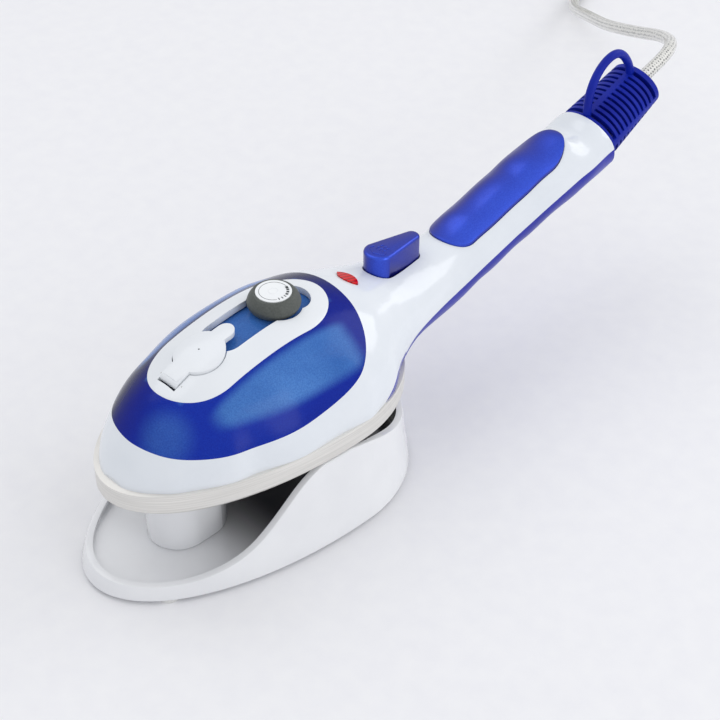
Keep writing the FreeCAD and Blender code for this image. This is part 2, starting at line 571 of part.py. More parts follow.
def guard_oval(along, inset):
    """The guard's outline in the handle end's frame, set inwards by inset."""
    t = along / GUARD_LENGTH
    half, height, rise = [a + (b - a) * t for a, b in zip(GUARD_ROOT, GUARD_END)]
    ring = oval_wire(half - inset, 0, inset - height, 0, height - inset, along)
    ring.translate(V(0, -rise, 0))
    return ring


def guard_body(inset):
    return Part.makeLoft([guard_oval(0, inset), guard_oval(GUARD_LENGTH, inset)], True, True)


def guard_slab(start, thickness):
    return Part.makeBox(60, 60, thickness, V(-30, -30, start))


body = guard_body(0.0)
cage = body.cut(guard_body(GUARD_WALL))
pitch = (GUARD_LENGTH - GUARD_END_PLATE - guard_gap) / (GUARD_RIBS + 1)
rib_slabs = [guard_slab(guard_gap + pitch * (k + 1) - GUARD_RIB_THICK / 2, GUARD_RIB_THICK)
             for k in range(GUARD_RIBS)]
spine_slabs = [Part.makeBox(GUARD_SPINE, 60, 60, V(-GUARD_SPINE / 2, -30, 0)),
               Part.makeBox(60, GUARD_SPINE, 60, V(-30, -GUARD_SPINE / 2 - GUARD_END[2] / 2, 0))]
guard_pieces = [cage.common(slab) for slab in rib_slabs + spine_slabs]
guard_pieces.append(body.common(guard_slab(0, guard_gap)))
guard_pieces.append(body.common(guard_slab(GUARD_LENGTH - GUARD_END_PLATE, GUARD_END_PLATE)))
guard_pieces.append(Part.makeCylinder(12.6, 6, V(0, 0, -6)))
guard = joined(guard_pieces)
SLEEVE_ROOT_R, SLEEVE_TIP_R = 6.4, 4.9
sleeve_end = GUARD_LENGTH + 1.5
sleeve_rings = [Part.Wire(Part.makeCircle(SLEEVE_ROOT_R, V(0, 0, -6))),
                Part.Wire(Part.makeCircle(SLEEVE_ROOT_R, V(0, 0, 0))),
                Part.Wire(Part.makeCircle(SLEEVE_TIP_R, V(0, -GUARD_END[2], sleeve_end)))]
sleeve = Part.makeLoft(sleeve_rings, True, True)
guard = guard.cut(sleeve)
parts["cord_sleeve"] = placed_on_handle(sleeve)
LOOP_POINTS = [(3.0, 12.2), (5.5, 22.5), (13.5, 33.0), (23.0, 37.2), (31.5, 36.0), (38.3, 28.0), (40.6, 14.6)]
loop_line = Part.BSplineCurve()
loop_line.interpolate([V(0, -up, along) for along, up in LOOP_POINTS])
loop_wire = Part.Wire(loop_line.toShape())
start_way = loop_line.tangent(loop_line.FirstParameter)[0]
loop_ring = Part.Wire(Part.makeCircle(LOOP_R, V(0, -LOOP_POINTS[0][1], LOOP_POINTS[0][0]), start_way))
loop = loop_wire.makePipeShell([loop_ring], True, True)
parts["hanging_loop"] = placed_on_handle(biggest(loop.cut(body)))
parts["cord_guard"] = placed_on_handle(biggest(guard))

# ---- inside the handle ---------------------------------------------------------------------
CLAMP_BACK = -34.0
lead_start = -62.0
lead = Part.makeCylinder(CORD_D / 2, -6.0 - lead_start, V(0, 0, lead_start))
clamp = Part.makeBox(20, 12, 9, V(-10, -6, CLAMP_BACK)).cut(lead)
clamp_screws = [Part.makeCylinder(1.5, 9, V(x, -4.5, CLAMP_BACK + 4.5), V(0, 1, 0)) for x in (-7, 7)]
clamp = clamp.cut(Part.makeCompound(clamp_screws))
parts["supply_lead"] = placed_on_handle(lead)
parts["cord_clamp"] = placed_on_handle(clamp)
parts["clamp_screws"] = placed_on_handle(Part.makeCompound(clamp_screws))
BLOCK_LENGTH = 24.0
block = Part.makeBox(18, 11, BLOCK_LENGTH, V(-9, -5.5, lead_start - BLOCK_LENGTH))
for x in (-4.5, 4.5):
    block = block.cut(Part.makeCylinder(1.8, 8, V(x, -6, lead_start - BLOCK_LENGTH / 2), V(0, 1, 0)))
parts["terminal_block"] = placed_on_handle(block)
block_front = on_handle(lead_start - BLOCK_LENGTH)
wires = []
for side, end in ((1, (HEATER_HALF, HEATER_REAR_Y - 5, SOLE_TOP_Z + 3)), (-1, (-15, 36, cover_top + 2.4))):
    middle_y = 66 if side > 0 else 58
    route = [(side * 4.5, block_front.y, block_front.z), (side * 11, 108, 62.5), (side * 15, 84, 63),
             (side * 17, middle_y, 66.5), end]
    wires.append(pipe(route, 1.2))
wires[1] = wires[1].cut(parts["thermal_fuse"])
parts["inner_wires"] = Part.makeCompound([biggest(w) for w in wires])
shell_screws = []
for y, z in SHELL_SCREWS:
    under = middle_z(y) - under_depth(y)
    seat = under + 4.5
    lower_boss = tube(4.4, 1.7, (0, y, seat), (0, y, z))
    lower_boss = lower_boss.fuse(tube(4.4, 3.2, (0, y, under + 0.9), (0, y, seat)))
    cover_with_boss = parts["lower_handle_cover"].fuse(lower_boss)
    cover_with_boss = cover_with_boss.cut(rod(3.2, (0, y, under - 3), (0, y, seat)))
    parts["lower_handle_cover"] = biggest(cover_with_boss.cut(rod(1.7, (0, y, seat - 1), (0, y, z + 1))))
    ceiling = top_z(y) - POCKET_DEPTH - 0.6
    upper_boss = tube(4.4, 1.6, (0, y, z), (0, y, ceiling))
    parts["upper_housing"] = biggest(parts["upper_housing"].fuse(upper_boss))
    shell_screws.append(screw(0, y, seat, z - seat + 9, up=False))
parts["housing_screws"] = Part.makeCompound(shell_screws)

# ---- stand ---------------------------------------------------------------------------------
def stand_solid(inset, z0, z1):
    """The stand's tapered outline between two heights, set inwards."""
    wires = []
    for z in (z0, (z0 + z1) / 2, z1):
        t = (z - STAND_FOOT_Z) / (STAND_TOP_Z - STAND_FOOT_Z)
        lean = t ** 0.8
        half = STAND_HALF + (SOLE_HALF - 1.6 - STAND_HALF) * lean - inset
        mid = STAND_MID_Y + (HEAD_MID_Y - STAND_MID_Y) * t
        nose = STAND_NOSE + (SOLE_NOSE - 2 - STAND_NOSE) * lean - inset
        heel = STAND_HEEL + (SOLE_HEEL - 2.4 - STAND_HEEL) * lean - inset
        wires.append(oval_wire(half, mid, mid - nose, mid, mid + heel, z))
    return Part.makeLoft(wires, True, False)


stand_top = STAND_TOP_Z - 0.2
stand = stand_solid(0.0, STAND_FOOT_Z, stand_top)
stand = stand.cut(stand_solid(STAND_WALL, STAND_FOOT_Z + STAND_FLOOR, stand_top + 4))
stand = stand.cut(side_prism([(STAND_EDGE[-1][0], 90), (STAND_EDGE[0][0], 90)], curved=STAND_EDGE))
post_floor = STAND_FOOT_Z + STAND_FLOOR
post_top = SOLE_BOTTOM_Z - REST_PAD_THICK - 0.1
post = slot_prism(POST_R, *POST_Y, post_floor, post_top)
post = post.cut(slot_prism(POST_R - 2.2, *POST_Y, post_floor, post_top - 2.5))
parts["stand_base"] = biggest(stand)
parts["front_post"] = post
parts["rest_pad"] = slot_prism(POST_R - 5, *POST_Y, post_top, post_top + REST_PAD_THICK)
feet = []
for x, y in ((27, -90), (-27, -90), (44, 40), (-44, 40)):
    feet.append(rod(FOOT_R, (x, y, 0), (x, y, STAND_FOOT_Z)))
parts["stand_feet"] = Part.makeCompound(feet)

# ---- cord, coil and plug -------------------------------------------------------------------
def cord_path(points):
    """Straight runs joined by tangent arcs, each as large as its two runs allow."""
    edges, radii, here = [], [], points[0]
    for a, b, c in zip(points, points[1:], points[2:]):
        come, go = b - a, c - b
        turn = come.getAngle(go)
        run = min(come.Length, go.Length)
        radius = 0.45 * run / math.tan(turn / 2)
        cut = 0.45 * run
        first = b - come * (cut / come.Length)
        last = b + go * (cut / go.Length)
        inward = (go * (1 / go.Length) - come * (1 / come.Length))
        inward = inward * (1 / inward.Length)
        middle = b + inward * (radius / math.cos(turn / 2) - radius)
        edges.append(Part.LineSegment(here, first).toShape())
        edges.append(Part.Arc(first, middle, last).toShape())
        here = last
        radii.append(radius)
    edges.append(Part.LineSegment(here, points[-1]).toShape())
    return Part.Wire(edges), radii


exit_point = on_handle(sleeve_end, up=GUARD_END[2])
coil_r_out = COIL_MID_R + COIL_ACROSS * TURN_PITCH / 2
coil_r_in = COIL_MID_R - COIL_ACROSS * TURN_PITCH / 2
coil_height = COIL_LAYERS * TURN_PITCH
stub_y = COIL_Y - math.sqrt(coil_r_out ** 2 - (COIL_EDGE_R - CORD_D / 2) ** 2) - 1.5
cord_z = CORD_D / 2
stub_x = COIL_X + COIL_EDGE_R
PLUG_Z = 9.0
PLUG_START_Y = COIL_Y - 31.0
coil = joined([tube(coil_r_out, coil_r_in, (COIL_X, COIL_Y, 0), (COIL_X, COIL_Y, coil_height)),
               rod(CORD_D / 2, (stub_x, stub_y, cord_z), (stub_x, COIL_Y - 10, cord_z)),
               rod(CORD_D / 2, (PLUG_X, PLUG_START_Y, PLUG_Z),
                   (PLUG_X, COIL_Y - 10, coil_height - cord_z - 0.2))])
parts["cord_coil"] = biggest(coil)
route = [exit_point] + [V(*p) for p in CORD_ROUTE] + [V(stub_x, stub_y - 0.8, cord_z)]
path, radii = cord_path(route)
start_ring = Part.Wire(Part.makeCircle(CORD_D / 2, route[0], route[1] - route[0]))
cord = path.makePipeShell([start_ring], True, False)
parts["power_cord"] = cord
print("cord radii", [round(r) for r in radii], "length", round(path.Length, 1),
      "volume ratio", round(cord.Volume / (path.Length * math.pi * CORD_D ** 2 / 4), 4))
RELIEF_LENGTH, PLUG_LENGTH = 26.0, 34.0
relief = Part.makeCone(5.0, 7.5, RELIEF_LENGTH, V(PLUG_X, PLUG_START_Y, PLUG_Z), V(0, -1, 0))
relief = relief.cut(coil)
body_start = PLUG_START_Y - RELIEF_LENGTH
PLUG_HALF_WIDTH, PLUG_HALF_HEIGHT = 15.0, 8.4
side_x = PLUG_HALF_WIDTH - PLUG_HALF_HEIGHT
body_end = body_start - PLUG_LENGTH
plug = box(PLUG_X - side_x, PLUG_X + side_x, body_end, body_start,
           PLUG_Z - PLUG_HALF_HEIGHT, PLUG_Z + PLUG_HALF_HEIGHT)
for x in (PLUG_X - side_x, PLUG_X + side_x):
    plug = plug.fuse(rod(PLUG_HALF_HEIGHT, (x, body_start, PLUG_Z), (x, body_end, PLUG_Z)))
plug = plug.removeSplitter()
pins = [rod(PIN_R, (PLUG_X + side * PIN_SPACING / 2, body_end, PLUG_Z),
            (PLUG_X + side * PIN_SPACING / 2, body_end - PIN_LENGTH, PLUG_Z)) for side in (-1, 1)]
parts["plug_relief"] = biggest(relief)
parts["plug_body"] = plug
parts["plug_pins"] = Part.makeCompound(pins)

# ---- the frame and the files ---------------------------------------------------------------
guard_rear_y = on_handle(GUARD_LENGTH, up=GUARD_END[2] - GUARD_END[1]).y
stand_front_y = STAND_MID_Y - STAND_NOSE
middle_y = (guard_rear_y + stand_front_y) / 2
to_origin = V(0, -middle_y, 0)
os.makedirs("parts", exist_ok=True)
for name, shape in parts.items():
    moved = shape.copy()
    moved.translate(to_origin)
    if not moved.isValid():
        print("not valid:", name)
    moved.exportStep("parts/" + name + ".step")
print("pieces", len(parts), "moved by", round(-middle_y, 3))
for label, point in (("dial", V(0, DIAL_Y, DIAL_TOP_Z)), ("lid hinge", V(0, LID_HINGE_Y, hinge_z)),
                     ("button", V(0, PUMP_Y, button_bottom)), ("spring fixed end", V(0, PUMP_Y, PUMP_TOP_Z)),
                     ("cord exit", exit_point), ("plug end", V(PLUG_X, body_end, PLUG_Z)),
                     ("guard end", on_handle(GUARD_LENGTH, up=GUARD_END[2]))):
    place = point + to_origin
    print(label, [round(c, 3) for c in (place.x, place.y, place.z)])
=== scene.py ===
import math

import bpy
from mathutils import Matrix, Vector


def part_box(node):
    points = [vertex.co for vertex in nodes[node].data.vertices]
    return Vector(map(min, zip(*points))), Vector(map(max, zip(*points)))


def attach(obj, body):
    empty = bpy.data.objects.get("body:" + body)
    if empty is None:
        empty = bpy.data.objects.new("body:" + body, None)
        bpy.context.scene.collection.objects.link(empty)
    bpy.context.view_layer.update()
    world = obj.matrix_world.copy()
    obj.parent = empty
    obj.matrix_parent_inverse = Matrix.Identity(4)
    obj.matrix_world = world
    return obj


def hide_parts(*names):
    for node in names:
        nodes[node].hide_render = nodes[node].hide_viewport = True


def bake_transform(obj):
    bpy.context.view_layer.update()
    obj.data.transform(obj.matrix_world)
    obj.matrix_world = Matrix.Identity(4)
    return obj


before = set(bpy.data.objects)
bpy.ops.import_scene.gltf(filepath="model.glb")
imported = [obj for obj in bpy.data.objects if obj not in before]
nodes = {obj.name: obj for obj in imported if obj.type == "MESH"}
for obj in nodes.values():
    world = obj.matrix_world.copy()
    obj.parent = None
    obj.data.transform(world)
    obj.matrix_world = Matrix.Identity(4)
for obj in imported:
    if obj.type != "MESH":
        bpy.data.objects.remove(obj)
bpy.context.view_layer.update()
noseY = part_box("stand_base")[0].y     # front edge of the stand, which the camera and the cord are placed from
partY = noseY + 0.1126                # the part's own source has its zero this far behind that edge


# camera and light

camera = {
    "lens": 84.54,
    "place": (0.48323, -0.41626, 0.59063),
    "aim": (0.00169, 0.06315, 0.04147),
}

studio = {
    "floor": ("#ECECEF", "#EFEFF1"),
    "world": "#F6F7FA",
    "worldStrength": 0.84,
    "lamps": [
        # name, place, aim, width, height, watts, colour
        ("keySoftbox", (-0.75, -0.20, 1.30), (0.0, 0.0, 0.05), 1.2, 1.2, 3.6, "#FFFFFF"),
        ("backSoftbox", (0.55, 1.35, 0.95), (0.0, 0.0, 0.05), 1.2, 0.8, 5.0, "#FFFFFF"),
        ("sideStrip", (1.30, 0.10, 0.55), (0.0, 0.0, 0.05), 0.5, 1.0, 3.0, "#FFFFFF"),
    ],
}


def fromPart(point):
    return Vector((point[0], point[1] + partY, point[2]))


def hexColour(text):
    channels = [int(text[i:i + 2], 16) / 255 for i in (1, 3, 5)]
    return tuple(c / 12.92 if c <= 0.04045 else ((c + 0.055) / 1.055) ** 2.4 for c in channels) + (1.0,)


def addCamera():
    data = bpy.data.cameras.new("camera")
    data.lens = camera["lens"]
    data.sensor_width = 36.0
    data.clip_start = 0.01
    eye = bpy.data.objects.new("camera", data)
    bpy.context.scene.collection.objects.link(eye)
    eye.location = fromPart(camera["place"])
    way = fromPart(camera["aim"]) - eye.location
    eye.rotation_euler = way.to_track_quat("-Z", "Y").to_euler()
    bpy.context.scene.camera = eye


def addNode(tree, kind, links=None, **settings):
    node = tree.nodes.new("ShaderNode" + kind)
    for name, value in settings.items():
        if hasattr(node, name):
            setattr(node, name, value)
        else:
            node.inputs[name.replace("_", " ")].default_value = value
    for socket, source in (links or {}).items():
        tree.links.new(source, node.inputs[socket])
    return node


def newMaterial(name):
    material = bpy.data.materials.new(name)
    material.use_nodes = True
    tree = material.node_tree
    surface = tree.nodes["Principled BSDF"]
    place = addNode(tree, "TexCoord").outputs["Object"]
    return material, tree, surface, place


def setSurface(surface, **values):
    for name, value in values.items():
        surface.inputs[name.replace("_", " ")].default_value = value


def bumpFrom(tree, surface, height, strength, distance):
    bump = addNode(tree, "Bump", {"Height": height}, Strength=strength, Distance=distance)
    tree.links.new(bump.outputs["Normal"], surface.inputs["Normal"])


def spread(tree, source, low, high, name="Roughness", surface=None):
    ramp = addNode(tree, "MapRange", {"Value": source})
    ramp.inputs["To Min"].default_value = low
    ramp.inputs["To Max"].default_value = high
    if surface:
        tree.links.new(ramp.outputs["Result"], surface.inputs[name])
    return ramp.outputs["Result"]


def twoTone(tree, source, first, second, low=0.3, high=0.7):
    ramp = addNode(tree, "ValToRGB", {"Fac": source})
    ramp.color_ramp.elements[0].position = low
    ramp.color_ramp.elements[1].position = high
    ramp.color_ramp.elements[0].color = hexColour(first)
    ramp.color_ramp.elements[1].color = hexColour(second)
    return ramp.outputs["Color"]


addCamera()
print("camera ready")


# materials

rearStrip = {
    # the blue lower cover's outline where it runs down the back of the head, in the part's metres
    "low": (0.0322, 0.0592),
    "high": (0.0470, 0.0672),
    "end": 0.0620,
}


def glossAbs(name, colour, roughness=0.13):
    # ABS, injection moulded in a polished tool: clear reflections with a very slight orange peel
    material, tree, surface, place = newMaterial(name)
    peel = addNode(tree, "TexNoise", {"Vector": place}, Scale=260.0, Detail=2.0)
    haze = addNode(tree, "TexNoise", {"Vector": place}, Scale=38.0, Detail=4.0)
    tint = twoTone(tree, haze.outputs["Fac"], colour[0], colour[1], 0.2, 0.8)
    tree.links.new(tint, surface.inputs["Base Color"])
    spread(tree, haze.outputs["Fac"], roughness - 0.03, roughness + 0.05, surface=surface)
    bumpFrom(tree, surface, peel.outputs["Fac"], 0.05, 0.0004)
    setSurface(surface, IOR=1.53, Coat_Weight=0.3, Coat_Roughness=0.06)
    return material


hollow = {
    # the middle of the stand's wall, the height below which it is floor, and where the painted shade comes in
    "midY": 0.0132,
    "floorTop": 0.0070,
    "fade": (-0.062, -0.016),
}


def ramped(tree, source, low, high):
    ramp = addNode(tree, "MapRange", {"Value": source}, interpolation_type="SMOOTHSTEP")
    ramp.inputs["From Min"].default_value = low
    ramp.inputs["From Max"].default_value = high
    return ramp.outputs["Result"]


def withPaintedHollowShade(material):
    # painted shade: little light gets in under the soleplate, so the base colour of the inside of the wall, and
    # of the tray floor towards the rear, is darkened to dark grey
    tree = material.node_tree
    surface = tree.nodes["Principled BSDF"]
    white = surface.inputs["Base Color"].links[0].from_socket
    place = addNode(tree, "TexCoord")
    outward = addNode(tree, "VectorMath", {0: place.outputs["Object"]}, operation="MULTIPLY_ADD")
    outward.inputs[1].default_value = (1.0, 1.0, 0.0)
    outward.inputs[2].default_value = (0.0, -partY - hollow["midY"], 0.0)
    side = addNode(tree, "VectorMath", {0: place.outputs["Normal"], 1: outward.outputs["Vector"]},
                   operation="DOT_PRODUCT")
    inner = addNode(tree, "Math", {0: side.outputs["Value"]}, operation="LESS_THAN")
    inner.inputs[1].default_value = -0.002
    split = addNode(tree, "SeparateXYZ", {"Vector": place.outputs["Object"]})
    floor = addNode(tree, "Math", {0: split.outputs["Z"]}, operation="LESS_THAN")
    floor.inputs[1].default_value = hollow["floorTop"]
    tilt = addNode(tree, "SeparateXYZ", {"Vector": place.outputs["Normal"]})
    flat = addNode(tree, "Math", {0: tilt.outputs["Z"]}, operation="GREATER_THAN")
    flat.inputs[1].default_value = 0.5
    tray = addNode(tree, "Math", {0: floor.outputs["Value"], 1: flat.outputs["Value"]}, operation="MULTIPLY")
    either = addNode(tree, "Math", {0: inner.outputs["Value"], 1: tray.outputs["Value"]}, operation="MAXIMUM")
    fade = ramped(tree, split.outputs["Y"], *[partY + y for y in hollow["fade"]])
    paintedShade = addNode(tree, "Math", {0: either.outputs["Value"], 1: fade}, operation="MULTIPLY")
    # painted shade: the base colour is mixed to dark grey wherever the mask is set
    mixed = addNode(tree, "MixRGB", {"Color1": white, "Fac": paintedShade.outputs["Value"]})
    mixed.inputs["Color2"].default_value = hexColour("#35353B")
    tree.links.new(mixed.outputs["Color"], surface.inputs["Base Color"])
    return material


def withRearStrip(material):
    # the same blue ABS as the lower cover below a slanting line behind the head
    tree = material.node_tree
    surface = tree.nodes["Principled BSDF"]
    white = surface.inputs["Base Color"].links[0].from_socket
    split = addNode(tree, "SeparateXYZ", {"Vector": addNode(tree, "TexCoord").outputs["Object"]})
    (lowY, lowZ), (highY, highZ) = rearStrip["low"], rearStrip["high"]
    slope = (highZ - lowZ) / (highY - lowY)
    line = addNode(tree, "Math", {0: split.outputs["Y"]}, operation="MULTIPLY_ADD")
    line.inputs[1].default_value = slope
    line.inputs[2].default_value = lowZ - slope * (lowY + partY)
    level = addNode(tree, "Math", {0: line.outputs["Value"]}, operation="MINIMUM")
    level.inputs[1].default_value = highZ
    under = addNode(tree, "Math", {0: split.outputs["Z"], 1: level.outputs["Value"]}, operation="LESS_THAN")
    behind = addNode(tree, "Math", {0: split.outputs["Y"]}, operation="GREATER_THAN")
    behind.inputs[1].default_value = lowY + partY
    short = addNode(tree, "Math", {0: split.outputs["Y"]}, operation="LESS_THAN")
    short.inputs[1].default_value = rearStrip["end"] + partY
    both = addNode(tree, "Math", {0: under.outputs["Value"], 1: behind.outputs["Value"]},
                   operation="MULTIPLY")
    strip = addNode(tree, "Math", {0: both.outputs["Value"], 1: short.outputs["Value"]}, operation="MULTIPLY")
    mixed = addNode(tree, "MixRGB", {"Color1": white, "Fac": strip.outputs["Value"]})
    mixed.inputs["Color2"].default_value = hexColour("#0D1A9E")
    tree.links.new(mixed.outputs["Color"], surface.inputs["Base Color"])
    return material


def satinAbs(name, colour, roughness=0.36, specular=0.5):
    # ABS, injection moulded with a fine spark texture: soft highlights over a faint grain
    material, tree, surface, place = newMaterial(name)
    grain = addNode(tree, "TexNoise", {"Vector": place}, Scale=1400.0, Detail=3.0)
    haze = addNode(tree, "TexNoise", {"Vector": place}, Scale=30.0, Detail=3.0)
    tint = twoTone(tree, haze.outputs["Fac"], colour[0], colour[1], 0.25, 0.75)
    tree.links.new(tint, surface.inputs["Base Color"])
    spread(tree, grain.outputs["Fac"], roughness - 0.06, roughness + 0.08, surface=surface)
    bumpFrom(tree, surface, grain.outputs["Fac"], 0.12, 0.0003)
    setSurface(surface, IOR=1.53, Specular_IOR_Level=specular)
    return material


tankPaintedLight = {
    # heights and distances in the frame's metres between which the painted light of the paler hollow comes in
    "low": 0.0820,
    "high": 0.0875,
    "inner": (0.0225, 0.0270),
    "rear": (partY + 0.0310, partY + 0.0210),
    "fore": (partY - 0.0590, partY - 0.0480),
    "deck": (0.0140, 0.0118),
    "deckStart": (partY - 0.0640, partY - 0.0600),
    "deckEnd": (partY + 0.0340, partY + 0.0290),
    "nose": (0.0150, -0.0740, 0.0815),
    "noseReach": (0.0170, 0.0050),
}


def tintedStyrene():
    # styrene-acrylonitrile, injection moulded with blue dye: light passes through, frosted by a fine inner
    # texture; painted shade and painted light are mixed into the base colour
    material, tree, surface, place = newMaterial("tintedStyreneMoulded")
    frost = addNode(tree, "TexNoise", {"Vector": place}, Scale=1500.0, Detail=2.0)
    cloud = addNode(tree, "TexNoise", {"Vector": place}, Scale=24.0, Detail=3.0)
    # painted shade: the base colour darkens from face-on to grazing edges, standing in for the longer path of
    # light through the dyed wall
    facing = addNode(tree, "LayerWeight", Blend=0.5).outputs["Facing"]
    grazingShade = addNode(tree, "ValToRGB", {"Fac": facing})
    stops = grazingShade.color_ramp.elements
    stops[0].position, stops[0].color = 0.05, hexColour("#1236B4")
    stops[1].position, stops[1].color = 0.75, hexColour("#020C48")
    middle = stops.new(0.4)
    middle.color = hexColour("#061C94")
    # painted light: the base colour is paler through the middle of each side, above the floor inside and short
    # of the walls, where the hollow shows through
    split = addNode(tree, "SeparateXYZ", {"Vector": place})
    across = addNode(tree, "Math", {0: split.outputs["X"]}, operation="ABSOLUTE").outputs["Value"]
    rise = ramped(tree, split.outputs["Z"], tankPaintedLight["low"], tankPaintedLight["high"])
    inner = ramped(tree, across, *tankPaintedLight["inner"])
    rear = ramped(tree, split.outputs["Y"], *tankPaintedLight["rear"])
    fore = ramped(tree, split.outputs["Y"], *tankPaintedLight["fore"])
    paintedLightMask = rise
    for part in (inner, rear, fore):
        paintedLightMask = addNode(tree, "Math", {0: paintedLightMask, 1: part}, operation="MULTIPLY").outputs["Value"]
    # painted light: a paler patch near the nose
    noseLightDistance = addNode(tree, "VectorMath", {0: place}, operation="DISTANCE")
    noseLightDistance.inputs[1].default_value = fromPart(tankPaintedLight["nose"])
    noseLightPatch = ramped(tree, noseLightDistance.outputs["Value"], *tankPaintedLight["noseReach"])
    # painted light: the deck in the recess is painted paler as well
    deck = ramped(tree, across, *tankPaintedLight["deck"])
    deckStart = ramped(tree, split.outputs["Y"], *tankPaintedLight["deckStart"])
    deck = addNode(tree, "Math", {0: deck, 1: deckStart}, operation="MULTIPLY").outputs["Value"]
    deckEnd = ramped(tree, split.outputs["Y"], *tankPaintedLight["deckEnd"])
    deck = addNode(tree, "Math", {0: deck, 1: deckEnd}, operation="MULTIPLY").outputs["Value"]
    soft = addNode(tree, "Math", {0: noseLightPatch}, operation="MULTIPLY")
    soft.inputs[1].default_value = 0.45
    for part in (soft.outputs["Value"], deck):
        paintedLightMask = addNode(tree, "Math", {0: paintedLightMask, 1: part}, operation="MAXIMUM").outputs["Value"]
    # the paler blue of the painted light, mottled at random
    paintedLightMottle = twoTone(tree, cloud.outputs["Fac"], "#3D74C4", "#5A92DC", 0.3, 0.7)
    tint = addNode(tree, "MixRGB", {"Color1": grazingShade.outputs["Color"], "Color2": paintedLightMottle, "Fac": paintedLightMask})
    grainy = twoTone(tree, frost.outputs["Fac"], "#B4BEDC", "#FFFFFF", 0.35, 0.65)
    speckled = addNode(tree, "MixRGB", {"Color1": tint.outputs["Color"], "Color2": grainy},
                       blend_type="MULTIPLY",
                       Fac=0.5)
    tree.links.new(speckled.outputs["Color"], surface.inputs["Base Color"])
    spread(tree, frost.outputs["Fac"], 0.10, 0.22, surface=surface)
    bumpFrom(tree, surface, frost.outputs["Fac"], 0.05, 0.0003)
    setSurface(surface, IOR=1.42, Transmission_Weight=0.2, Specular_IOR_Level=0.12)
    return material


def pearlPaint():
    # pearl pigment in clear lacquer over ABS, sprayed, with fine flakes; the bright core of the highlight is
    # painted into the base colour
    material, tree, surface, place = newMaterial("pearlLacquerSprayed")
    flake = addNode(tree, "TexVoronoi", {"Vector": place}, Scale=2200.0)
    facing = addNode(tree, "LayerWeight", Blend=0.5).outputs["Facing"]
    # painted highlight: the base colour is lighter face-on and darker towards grazing edges
    bloomAndPaintedSheen = twoTone(tree, facing, "#3558DC", "#0A1290", 0.1, 0.62)
    tint = twoTone(tree, flake.outputs["Color"], "#C4CAE8", "#FFFFFF", 0.1, 0.9)
    pearl = addNode(tree, "MixRGB", {"Color1": bloomAndPaintedSheen, "Color2": tint}, blend_type="MULTIPLY", Fac=0.6)
    tree.links.new(pearl.outputs["Color"], surface.inputs["Base Color"])
    spread(tree, flake.outputs["Distance"], 0.28, 0.38, surface=surface)
    bumpFrom(tree, surface, flake.outputs["Distance"], 0.04, 0.0003)
    setSurface(surface, Metallic=0.7, IOR=1.5, Coat_Weight=0.3, Coat_Roughness=0.16)
    return material


def softPvc(name, colour, roughness=0.45, specular=0.5):
    # plasticised PVC, injection moulded: a waxy, slightly uneven sheen
    material, tree, surface, place = newMaterial(name)
    grain = addNode(tree, "TexNoise", {"Vector": place}, Scale=900.0, Detail=4.0)
    haze = addNode(tree, "TexNoise", {"Vector": place}, Scale=60.0, Detail=2.0)
    tint = twoTone(tree, haze.outputs["Fac"], colour[0], colour[1], 0.25, 0.75)
    tree.links.new(tint, surface.inputs["Base Color"])
    spread(tree, haze.outputs["Fac"], roughness - 0.07, roughness + 0.08, surface=surface)
    bumpFrom(tree, surface, grain.outputs["Fac"], 0.15, 0.0003)
    setSurface(surface, IOR=1.52, Specular_IOR_Level=specular)
    return material


def siliconeRubber(name, colour, roughness=0.58):
    # silicone rubber, compression moulded: matt, with a fine bloom
    material, tree, surface, place = newMaterial(name)
    bloomAndPaintedSheen = addNode(tree, "TexNoise", {"Vector": place}, Scale=1100.0, Detail=5.0)
    tint = twoTone(tree, bloomAndPaintedSheen.outputs["Fac"], colour[0], colour[1], 0.3, 0.7)
    tree.links.new(tint, surface.inputs["Base Color"])
    spread(tree, bloomAndPaintedSheen.outputs["Fac"], roughness - 0.08, roughness + 0.1, surface=surface)
    bumpFrom(tree, surface, bloomAndPaintedSheen.outputs["Fac"], 0.2, 0.0002)
    setSurface(surface, IOR=1.43)
    return material


def castAluminium():
    # aluminium, die cast and belt ground round its edge: fine level streaks about half a millimetre apart
    material, tree, surface, place = newMaterial("dieCastAluminiumGround")
    stretch = addNode(tree, "Mapping", {"Vector": place})
    stretch.inputs["Scale"].default_value = (25.0, 25.0, 2000.0)
    streak = addNode(tree, "TexNoise", {"Vector": stretch.outputs["Vector"]}, Scale=1.0, Detail=4.0)
    cast = addNode(tree, "TexNoise", {"Vector": place}, Scale=320.0, Detail=5.0)
    tint = twoTone(tree, streak.outputs["Fac"], "#D2D0CB", "#EDEBE7", 0.25, 0.75)
    tree.links.new(tint, surface.inputs["Base Color"])
    spread(tree, streak.outputs["Fac"], 0.34, 0.52, surface=surface)
    rough = addNode(tree, "Math", {0: streak.outputs["Fac"], 1: cast.outputs["Fac"]}, operation="ADD")
    bumpFrom(tree, surface, rough.outputs["Value"], 0.15, 0.0003)
    setSurface(surface, Metallic=0.45)
    return material


def drawnSteel():
    # stainless steel, drawn or pressed: drawing lines and a soft metallic sheen
    material, tree, surface, place = newMaterial("stainlessSteelDrawn")
    line = addNode(tree, "TexNoise", {"Vector": place}, Scale=700.0, Detail=6.0)
    tint = twoTone(tree, line.outputs["Fac"], "#9C9C9A", "#BDBDBA", 0.3, 0.7)
    tree.links.new(tint, surface.inputs["Base Color"])
    spread(tree, line.outputs["Fac"], 0.24, 0.40, surface=surface)
    bumpFrom(tree, surface, line.outputs["Fac"], 0.08, 0.0002)
    setSurface(surface, Metallic=1.0)
    return material


